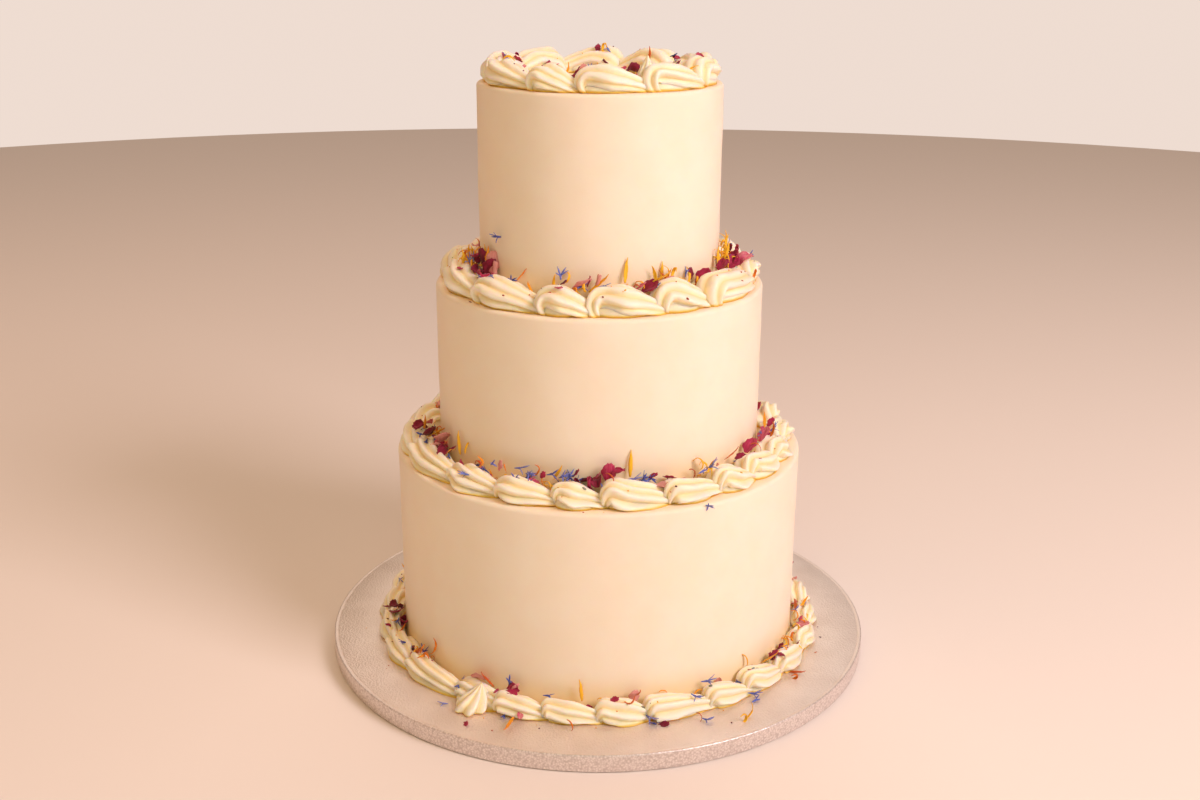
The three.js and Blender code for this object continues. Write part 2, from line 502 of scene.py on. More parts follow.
# %% The straight rope
def star_rope(name, lobes, steps, mouth):
    """A closed fluted rope along X from 0 to 1; `mouth` is how far its creases are from the middle."""
    start_piece()
    bpy.ops.mesh.primitive_circle_add(vertices=3 * lobes, radius=1, rotation=(0, math.pi / 2, 0))
    rope = bpy.context.object
    bpy.ops.object.transform_apply(rotation=True)
    valleys = [k * 2 * math.pi / lobes for k in range(lobes)]
    first = rope.data.vertices[0].co
    offset = math.atan2(first.z, first.y)

    def in_valley(point):
        angle = math.atan2(point.z, point.y) - offset
        return any(abs(math.remainder(angle - valley, 2 * math.pi)) < 0.02 for valley in valleys)

    bpy.ops.object.mode_set(mode="EDIT")
    pick(rope, "VERT", lambda point, normal: in_valley(point))
    bpy.ops.transform.resize(value=(1, mouth, mouth), center_override=(0, 0, 0))
    bpy.ops.mesh.select_all(action="SELECT")
    for step in range(steps):
        bpy.ops.mesh.extrude_region_move(TRANSFORM_OT_translate={"value": (1 / steps, 0, 0)})
    for end in (1.0, 0.0):
        pick(rope, "VERT", lambda point, normal: abs(point.x - end) < 1e-4)
        bpy.ops.mesh.extrude_region_move(TRANSFORM_OT_translate={"value": (0, 0, 0)})
        bpy.ops.mesh.merge(type="CENTER")
    pick(rope, "EDGE", lambda middle, along: abs(along.x) > 0.9 and in_valley(middle))
    bpy.ops.transform.edge_crease(value=0.75)
    bpy.ops.mesh.select_all(action="SELECT")
    bpy.ops.mesh.normals_make_consistent(inside=False)
    bpy.ops.object.mode_set(mode="OBJECT")
    use_modifier(rope, "SUBSURF", levels=2, render_levels=2)

    across = np.empty(len(rope.data.vertices) * 3)
    rope.data.vertices.foreach_get("co", across)
    radius = np.hypot(across[1::3], across[2::3])
    crest, valley = radius.max(), np.percentile(radius, 2)
    # How deep a point lies in a crease sets its painted yellow glow
    groove = rope.data.attributes.new("groove", "FLOAT", "POINT")
    depth = np.clip((crest - radius) / (crest - valley), 0, 1) ** 1.2
    groove.data.foreach_set("value", depth.astype(np.float32))
    bpy.ops.object.shade_smooth()
    rope.name = name
    print(name, "has", len(rope.data.polygons), "faces")
    return rope


# A foot gets only a little painted crease glow, so it is nearly the ridges' cream
FOOT_GLOW = 0.16  # a foot's shade, near that of the ridges round it


def foot_lump(name):
    """The solid foot of a shell: a ball of radius 1 that fills the space inside its curl."""
    start_piece()
    bpy.ops.mesh.primitive_uv_sphere_add(segments=16, ring_count=9, radius=1)
    ball = bpy.context.object
    groove = ball.data.attributes.new("groove", "FLOAT", "POINT")
    groove.data.foreach_set("value", [FOOT_GLOW] * len(ball.data.vertices))
    bpy.ops.object.shade_smooth()
    ball.name = name
    return ball


# %% Two ropes and a foot
shell_foot = foot_lump("shell_foot")
plain_rope = star_rope("plain_rope", lobes=8, steps=7, mouth=0.71)
scroll_rope = star_rope("scroll_rope", lobes=7, steps=14, mouth=0.77)

# %% [markdown]
# ## The path of the hand
# To pipe a shell the hand starts low, moves up and back a little while it squeezes, then rolls
# over and pulls away forwards and down. So the rope's centre line is a hook. A small hook
# gives the plain shells of the lower rings, and a full turn gives the scrolls of the upper
# ones. The rope's ends sit at places that no operator knows, so its vertices are moved along
# the hook by a formula, and the whole is then fitted to its length, width and height.

# %% Rope to shell
def ease(low, high, value):
    """0 below `low`, 1 above `high`, and smooth between them."""
    share = np.clip((value - low) / (high - low), 0, 1)
    return share * share * (3 - 2 * share)


def bend_rope(points, length, width, height, hook, hook_size, tilt, twist, sway, seed, sunk=0.3):
    """The rope's points along a hooked path: X along, Y towards the wall, Z up."""
    along = np.clip(points[:, 0], 0, 1)
    angle = np.arctan2(points[:, 2], points[:, 1])
    radius = np.hypot(points[:, 1], points[:, 2])
    dice = random.Random(seed)
    wave = [dice.uniform(0, 6.28) for _ in range(8)]
    size = [dice.uniform(0.5, 1.0) for _ in range(4)]

    turn = 0.42
    grid = np.linspace(0, 1, 241)
    heading = hook * (1 - ease(0, turn, grid)) - math.radians(12) * ease(0.45, 1, grid)
    in_hook = 1 - ease(turn * 0.6, turn * 1.25, grid)
    speed = in_hook * hook_size * height * max(hook, 0.6) / turn + (1 - in_hook) * length / 0.62
    ahead = np.cumsum(np.cos(heading) * speed) / len(grid)
    up = np.cumsum(np.sin(heading) * speed) / len(grid)
    way = np.interp(along, grid, heading)
    spine_x = np.interp(along, grid, ahead)
    spine_z = np.interp(along, grid, up)

    swell = 0.38 + 0.62 * ease(0, 0.32, along)
    swell *= 1 - 0.8 * np.clip((along - 0.42) / 0.58, 0, 1) ** 1.7
    swell *= 1 + 0.07 * size[0] * np.sin(9 * along + wave[0]) + 0.04 * size[1] * np.sin(21 * along + wave[1])
    lobe = 1 + 0.09 * size[2] * np.sin(2 * angle + wave[2] + 2 * along)
    lobe += 0.07 * size[3] * np.sin(3 * angle + wave[3] - 3 * along) + 0.05 * np.sin(5 * angle + wave[4])
    angle = angle + twist * (along - 0.3) + 0.12 * np.sin(5 * along + wave[5])
    reach = radius * swell * lobe
    skirt = 1 + 0.55 * ease(0.3, 0.55, along) * np.clip(-np.sin(angle), 0, 1)
    side = reach * np.cos(angle) * skirt * width / 2
    out = reach * np.sin(angle) * height * 0.52

    x = spine_x - out * np.sin(way)
    z = spine_z + out * np.cos(way)
    y = side + sway * width * np.sin(math.pi * along + wave[6] * 0.1) * ease(0.2, 1, along)
    lean = tilt * (1 - 0.85 * ease(0.3, 0.6, along))
    y, z = y * np.cos(lean) + z * np.sin(lean), z * np.cos(lean) - y * np.sin(lean)

    x = (x - x.min()) * length / (x.max() - x.min())
    y = y - (y.max() + y.min()) / 2
    y = y * width / (y.max() - y.min())
    foot = z.min() + sunk * (z.max() - z.min())
    z = (z - foot) * height / (z.max() - foot)
    tail = z[along > 0.97].mean() + 0.1 * height
    z -= tail * ease(0.45, 1, along)
    return np.stack([x, y, z], axis=1)


def star_drop(points, width, height, lean):
    """The rope's points as a star: squeezed out straight down and lifted off to a tip."""
    along = np.clip(points[:, 0], 0, 1)
    swell = np.clip(1 - along, 0, 1) ** 0.75 * (0.9 + 0.35 * np.sin(math.pi * along)) + 0.02
    angle = np.arctan2(points[:, 2], points[:, 1]) + 0.5 * along
    reach = np.hypot(points[:, 1], points[:, 2]) * swell * width / 2
    reach *= 1 + 0.16 * np.sin(angle + 2.4) + 0.05 * np.sin(3 * angle)
    x = reach * np.cos(angle) + lean[0] * along**1.5
    y = reach * np.sin(angle) + lean[1] * along**1.5
    return np.stack([x, y, height * along], axis=1)


def round_the_cake(points, radius, azimuth, level):
    """Bends a shell round the ring, with its bulb at `azimuth`."""
    angle = azimuth + points[:, 0] / radius
    reach = radius - points[:, 1]
    return np.stack([reach * np.cos(angle), reach * np.sin(angle), points[:, 2] + level], axis=1)


# %% [markdown]
# ## The four borders
# Every ring has its own hand: where each shell begins, how many there are, how wide and high
# they are, and how far the hand rolled over. The shells that were piped first have uneven
# starts, and the rest share the ring. Each shell's tail lies under the next shell's bulb, and
# neither a shell nor its foot goes into the wall that it is piped against. Two rings also have
# a star: a drop that was squeezed straight down to close the ring, or that was left over.

# %% The rings in numbers
RINGS = [
    dict(name="base_border", node="piped_border_base", wall=130.5, radius=139.5, width=19, height=13.5,
         starts=[-147, -128, -116, -104, -91, -79, -63, -51, -38, -24], count=27,
         stars=[dict(azimuth=-121, radius=147, width=23, height=14, lean=(3, 7))],
         rope=plain_rope, hook=1.9, hook_size=0.30, tilt=0.25),
    dict(name="bottom_border", node="piped_border_bottom", wall=103, radius=115.5, width=26, height=15,
         starts=[-163, -139, -121, -104, -90, -72, -55, -41, -25], count=21, stars=[],
         rope=plain_rope, hook=2.2, hook_size=0.32, tilt=0.35),
    dict(name="middle_border", node="piped_border_middle", wall=75, radius=88.5, width=27, height=17.5,
         starts=[-174, -143, -114, -95, -70, -49, -14], count=13, stars=[],
         rope=scroll_rope, hook=3.6, hook_size=0.40, tilt=0.38),
    dict(name="top_border", node="piped_border_top", wall=0, radius=61.5, width=25.5, height=16,
         starts=[-175, -130, -104, -69, -33], count=10,
         stars=[dict(azimuth=-64, radius=57, width=13, height=20, lean=(1, -2))],
         rope=scroll_rope, hook=3.8, hook_size=0.42, tilt=0.35),
]
OVERLAP = 1.36  # a shell's length over its share of the ring
WALL_GAP = 0.3
LOWEST = 0.02  # mm above the ledge
FOOT_SIZE = (0.34, 0.4, 0.42)  # its half sizes, as shares of the shell's length, width and height
FOOT_AHEAD, FOOT_UP = 0.39, 0.06  # its middle, as shares of the shell's length and height


def uneven(index, salt):
    """A repeatable number from -1 to 1, the same as in the CAD model."""
    wave = math.sin(index * 12.9898 + salt * 78.233) * 43758.5453
    return 2 * (wave - math.floor(wave)) - 1


def shell_starts(ring):
    """The azimuth, in degrees, where each shell begins, and where the ring closes."""
    starts = list(ring["starts"])
    rest = ring["count"] - len(starts) + 1
    last = starts[-1]
    step = (starts[0] + 360 - last) / rest
    return starts + [last + index * step for index in range(1, rest + 1)]


# %% Piping a ring
def add_shell(rope, points):
    """A copy of the rope with its vertices at `points`."""
    shell = rope.copy()
    shell.data = rope.data.copy()
    bpy.context.collection.objects.link(shell)
    shell.data.vertices.foreach_set("co", (points * MM).astype(np.float32).ravel())
    return shell


def pipe_ring(ring):
    """All shells of one ring and their feet, joined into one piece."""
    level = Vector(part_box(ring["node"])[0]).z / MM
    rope = ring["rope"]
    flat = np.empty(len(rope.data.vertices) * 3)
    rope.data.vertices.foreach_get("co", flat)
    rope_points = flat.reshape(-1, 3)
    ball_points = np.array([vertex.co for vertex in shell_foot.data.vertices])
    starts = shell_starts(ring)
    inner = ring["radius"] - ring["wall"] - WALL_GAP if ring["wall"] else ring["width"]
    shells = []
    for index in range(ring["count"]):
        azimuth = math.radians(starts[index])
        share = math.radians(starts[index + 1] - starts[index])
        width = ring["width"] * (1 + 0.06 * uneven(index, 1))
        height = ring["height"] * (1 + 0.06 * uneven(index, 2))
        hand = dict(
            length=OVERLAP * share * ring["radius"], width=width, height=height,
            hook=ring["hook"] * (1 + 0.12 * uneven(index, 4)), hook_size=ring["hook_size"],
            tilt=ring["tilt"] + 0.15 * uneven(index, 5), twist=0.5 * uneven(index, 6),
            sway=0.12 * uneven(index, 3), seed=index * 7 + int(ring["radius"]),
        )
        foot_size = (FOOT_SIZE[0] * hand["length"], FOOT_SIZE[1] * width, FOOT_SIZE[2] * height)
        foot_points = ball_points * foot_size
        foot_points += (FOOT_AHEAD * hand["length"], 0, FOOT_UP * height)
        for form, points in ((rope, bend_rope(rope_points, **hand)), (shell_foot, foot_points)):
            points[:, 1] = np.minimum(points[:, 1], inner)
            points[:, 2] = np.maximum(points[:, 2], LOWEST)
            shells.append(add_shell(form, round_the_cake(points, ring["radius"], azimuth, level)))
    for star in ring["stars"]:
        points = star_drop(rope_points, star["width"], star["height"], star["lean"])
        azimuth = math.radians(star["azimuth"])
        shells.append(add_shell(rope, round_the_cake(points, star["radius"], azimuth, level)))
    start_piece()
    for shell in shells:
        shell.select_set(True)
    bpy.context.view_layer.objects.active = shells[0]
    bpy.ops.object.join()
    piece = bpy.context.object
    piece.data.materials.clear()
    piece.data.materials.append(piping)

    wobble(piece, ring["name"] + "_lumps", 4.5 * MM, 0.8 * MM)
    groove = piece.data.attributes["groove"]
    # Within 2.2 mm of the ledge the glow mask is raised: a painted yellow glow along each shell's foot
    for vertex in piece.data.vertices:
        above = vertex.co.z / MM - level
        vertex.co.z = max(vertex.co.z, level * MM + 0.00001)
        groove.data[vertex.index].value = max(groove.data[vertex.index].value, 1 - above / 2.2)
    settle(piece, ring["name"], "piped_buttercream", ring["node"])


# %% The four rings
for ring in RINGS:
    pipe_ring(ring)
for rope in (plain_rope, scroll_rope, shell_foot):
    bpy.data.objects.remove(rope)

# %% [markdown]
# ## Dried petals
# The piper scattered a handful of dried petals into the borders. Rose petals are leathery and
# cupped, burgundy at the tip and pale at the base; some have dried into rolls. Cornflower
# florets are little blue trumpets with pointed lobes. Marigold gives narrow yellow and orange
# straps. The rest is crumbs, and a few grey seeds. All are far smaller than a berry.
#
# A petal starts as a flat grid. Its outline is narrowed towards its ends, its edge is torn a
# little, and it is rolled round its length and bent along it by a formula, because the bend
# modifier can't do both at once on so few faces. Clouds crumple it, and its thickness comes
# last. Each kind has a few such masters, in millimetres, along X.

# %% Petal masters
def leaf(
    name, length, width, rows, outline, bend=0.0, roll=0.0, crumple=0.0, thickness=0.3, columns=3, torn=0.0
):
    """A thin petal along X, with its base at the origin; `outline` is its width from base to tip."""
    start_piece()
    bpy.ops.mesh.primitive_grid_add(x_subdivisions=rows, y_subdivisions=columns, size=1)
    petal = bpy.context.object
    petal.scale = (length, width, 1)
    bpy.ops.object.transform_apply(scale=True)
    tip = petal.data.attributes.new("tip", "FLOAT", "POINT")
    across = petal.data.attributes.new("across", "FLOAT", "POINT")
    roll, bend = math.radians(roll) or 1e-3, math.radians(bend) or 1e-3
    for vertex in petal.data.vertices:
        x, y = vertex.co.x + length / 2, vertex.co.y
        share = min(max(x / length, 0), 1)
        tip.data[vertex.index].value = share
        across.data[vertex.index].value = y / width
        y *= np.interp(share, np.linspace(0, 1, len(outline)), outline)
        x += torn * uneven(vertex.index, length) * (share > 0.6)
        y += torn * uneven(vertex.index, width) * (abs(y) > width * 0.25)
        around = y / width * roll
        y, z = width / roll * math.sin(around), width / roll * (1 - math.cos(around))
        over = x / length * bend
        radius = length / bend - z
        vertex.co = (radius * math.sin(over), y, length / bend - radius * math.cos(over))
    if crumple:
        wobble(petal, name + "_folds", 0.3 * width + 0.5, crumple)
    use_modifier(petal, "SOLIDIFY", thickness=thickness, offset=0)
    petal.data.polygons.foreach_set("use_smooth", [True] * len(petal.data.polygons))
    petal.name = name
    return petal


ROSE = [0.2, 0.6, 0.9, 1.0, 0.92, 0.7, 0.3]
STRAP = [0.35, 0.8, 1.0, 1.0, 0.75, 0.35, 0.08]
LOBE = [0.4, 0.8, 1.0, 0.6, 0.1]
SHARD = [0.2, 0.7, 1.0, 0.9, 0.35]

rose_petals = [
    leaf("cupped", 12, 9.5, 10, ROSE, bend=30, roll=80, crumple=2.3, columns=8, torn=0.5),
    leaf("crumpled", 10, 9, 10, ROSE, bend=-50, roll=130, crumple=3.4, columns=9, torn=0.6),
    leaf("rolled", 9, 9, 9, ROSE, bend=30, roll=430, crumple=0.8, columns=9, torn=0.4),
    leaf("shard", 6.5, 4.2, 7, SHARD, bend=40, roll=90, crumple=2.0, columns=5, torn=0.45),
]
marigold_straps = [
    leaf("straight_strap", 15, 2.6, 11, STRAP, bend=30, roll=110, crumple=0.9, columns=3, torn=0.15),
    leaf("curved_strap", 13, 2.2, 10, STRAP, bend=120, roll=120, crumple=0.8, columns=3, torn=0.15),
    leaf("curled_strap", 12, 1.9, 10, STRAP, bend=220, roll=60, crumple=1.0, columns=3, torn=0.15),
    leaf("thread", 10, 1.0, 9, STRAP, bend=-150, roll=60, crumple=0.6, columns=1),
]


# %% A cornflower floret
def floret(name, lobes, spread, length):
    """Pointed lobes round the mouth of a thin tube that lies along X."""
    rays = []
    for lobe in range(lobes):
        long = length * (1 + 0.25 * uneven(lobe, 11))
        bend = 50 * uneven(lobe, 14)
        ray = leaf("ray", long, 1.05, 5, LOBE, bend=bend, roll=50, thickness=0.26, columns=1)
        around = Matrix.Rotation(lobe * 2 * math.pi / lobes + 0.5 * uneven(lobe, 12), 4, "X")
        open_out = Matrix.Rotation(-math.radians(spread + 20 * uneven(lobe, 13)), 4, "Y")
        ray.data.transform(Matrix.Translation((3.2, 0, 0)) @ around @ open_out)
        rays.append(ray)
    start_piece()
    bpy.ops.mesh.primitive_cone_add(
        vertices=6, radius1=0.25, radius2=0.75, depth=3.6, location=(1.7, 0, 0), rotation=(0, math.pi / 2, 0)
    )
    tube = bpy.context.object
    bpy.ops.object.transform_apply(location=True, rotation=True)
    tube.data.attributes.new("tip", "FLOAT", "POINT")
    for ray in rays:
        ray.select_set(True)
    bpy.ops.object.join()
    tube.name = name
    return tube


cornflower_florets = [
    floret("open_floret", 5, 42, 4.6),
    floret("half_floret", 4, 22, 5.4),
    floret("small_floret", 3, 26, 4.0),
]


# %% Crumbs and seeds
def lump(name, size, subdivisions, crumple):
    """A small uneven lump, with its middle at the origin."""
    start_piece()
    bpy.ops.mesh.primitive_ico_sphere_add(subdivisions=subdivisions, radius=0.5)
    piece = bpy.context.object
    piece.scale = size
    bpy.ops.object.transform_apply(scale=True)
    if crumple:
        wobble(piece, name + "_folds", 0.8, crumple)
    piece.data.attributes.new("tip", "FLOAT", "POINT")
    piece.data.polygons.foreach_set("use_smooth", [True] * len(piece.data.polygons))
    piece.name = name
    return piece


crumbs = [
    lump("chip", (2.0, 1.3, 0.7), 1, 0.6),
    lump("flake", (2.8, 2.0, 0.45), 1, 0.7),
    lump("dot", (1.1, 0.9, 0.8), 1, 0.2),
]
seeds = [lump("seed", (3.2, 1.5, 1.2), 2, 0.0)]
MASTERS = {
    "rose": rose_petals, "marigold": marigold_straps, "cornflower": cornflower_florets,
    "crumb": crumbs, "seed": seeds,
}
print("masters:", {kind: len(masters) for kind, masters in MASTERS.items()})

# %% [markdown]
# ## What a dried petal looks like
# Every copy carries a `tint` from 0 to 1 that picks its shade, and `tip` runs from its base to
# its tip. Dried petals are slightly see-through; this material makes them matt with a little sheen and
# veined.

# %% Petal materials
def petal_matter(name, shades, vein_size, vein_depth):
    """A dried petal: its shade from `tint`, darker or paler towards the base, fine veins."""
    matter, body = substance(name, Roughness=0.6, Sheen_Weight=0.15, Specular_IOR_Level=0.3)
    tint = attribute(matter, "tint")
    tip = attribute(matter, "tip")
    place = object_place(matter)
    across = attribute(matter, "across")
    own = add_node(matter, "ShaderNodeCombineXYZ", {"X": across, "Y": tip, "Z": tint}).outputs[0]
    stretch = {0: own, 1: (9.0, 1.6, 60.0)}
    spot = add_node(matter, "ShaderNodeVectorMath", stretch, operation="MULTIPLY").outputs[0]
    streak = noise(matter, spot, 1.0, 3.0)
    drift = {0: streak, 1: 0.45, 2: tint}
    drift = add_node(matter, "ShaderNodeMath", drift, operation="MULTIPLY_ADD").outputs[0]
    shade = {0: tip, 1: 0.12, 2: drift}
    shade = add_node(matter, "ShaderNodeMath", shade, operation="MULTIPLY_ADD").outputs[0]
    plug(matter, ramp(matter, shade, shades), body.inputs["Base Color"])
    vein = noise(matter, place, 1 / vein_size, 2.0)
    plug(matter, bump(matter, vein, 0.5, vein_depth), body.inputs["Normal"])
    return matter


rose_matter = petal_matter(
    "dried_rose_petal",
    [(0.2, "#4E0A1E"), (0.45, "#861032"), (0.68, "#B0224E"), (0.86, "#CC5570"), (1.0, "#DE9890")],
    0.9 * MM, 0.3 * MM,
)
marigold_matter = petal_matter(
    "dried_marigold_petal",
    [(0.2, "#FACB32"), (0.5, "#F6B01E"), (0.78, "#E88214"), (1.0, "#C04E10")],
    0.6 * MM, 0.2 * MM,
)
cornflower_matter = petal_matter(
    "dried_cornflower_floret",
    [(0.2, "#2B3168"), (0.45, "#4452A6"), (0.75, "#6C78C8"), (1.0, "#A39EC8")],
    0.6 * MM, 0.2 * MM,
)
crumb_matter = petal_matter(
    "petal_crumb",
    [(0.1, "#3A0C18"), (0.4, "#8A1430"), (0.7, "#D0661A"), (1.0, "#EFB22A")],
    0.6 * MM, 0.2 * MM,
)
seed_matter = petal_matter(
    "cornflower_seed", [(0.1, "#5E5F58"), (0.5, "#84857A"), (1.0, "#A8A690")], 0.8 * MM, 0.1 * MM
)

# %% [markdown]
# ## Laying the petals
# A petal is dropped onto the cake: a ray straight down finds the icing under it, and the petal
# lies along that surface. Some lean up against a wall or stand in the gutter between a border
# and its wall, where the shells caught them, and those get a pitch of their own.

# %% Where the icing is
def icing_tree():
    """One search tree of every piece that a petal can lie on."""
    points, faces = [], []
    for piece in bpy.context.scene.objects:
        if piece.type == "MESH" and piece.name in RESTS:
            start = len(points)
            points.extend(vertex.co.copy() for vertex in piece.data.vertices)
            faces.extend([start + i for i in face.vertices] for face in piece.data.polygons)
    return BVHTree.FromPolygons(points, faces)


RESTS = ["drum", "bottom_tier", "middle_tier", "top_tier"] + [ring["name"] for ring in RINGS]
icing = icing_tree()
laid = {kind: [] for kind in MASTERS}
LEDGE = {"board": 11, "bottom": 138, "middle": 245, "top": 367}
DROP = 34  # mm above a ledge from which a petal falls, higher than any shell
UP, DOWN = Vector((0, 0, 1)), Vector((0, 0, -1))


def lay(kind, form, ledge, azimuth, radius, tint, yaw=0.0, pitch=None, rise=None, size=1.0, roll=0.0):
    """Lays one petal at `azimuth` degrees and `radius` mm; `yaw` turns it from pointing outwards."""
    turn = math.radians(azimuth)
    above = Vector((radius * math.cos(turn), radius * math.sin(turn), LEDGE[ledge] + DROP)) * MM
    hit, normal, _, _ = icing.ray_cast(above, DOWN)
    if hit is None:
        return
    if rise is not None:
        hit.z = (LEDGE[ledge] + rise) * MM
    heading = Matrix.Rotation(turn + math.radians(yaw), 4, "Z")
    rolled = Matrix.Rotation(math.radians(roll), 4, "X")
    master = MASTERS[kind][form]
    middle = sum((Vector(corner) for corner in master.bound_box), Vector()) / 8
    if pitch is None:
        lean = UP.rotation_difference(normal.lerp(UP, 0.25)).to_matrix().to_4x4()
        facing = lean @ heading @ rolled
        low = min(corner[2] for corner in master.bound_box)
        sunk = 0.25 * (middle.z - low)
        hold = Matrix.Translation((-middle.x, -middle.y, -low - sunk))
    else:
        facing = heading @ Matrix.Rotation(-math.radians(pitch), 4, "Y") @ rolled
        hold = Matrix.Translation((-0.6, -middle.y, 0))
    petal = master.copy()
    petal.data = master.data.copy()
    bpy.context.collection.objects.link(petal)
    petal.data.transform(Matrix.Translation(hit) @ facing @ Matrix.Scale(size * MM, 4) @ hold)
    shade = petal.data.attributes.new("tint", "FLOAT", "POINT")
    shade.data.foreach_set("value", [tint] * len(petal.data.vertices))
    laid[kind].append(petal)
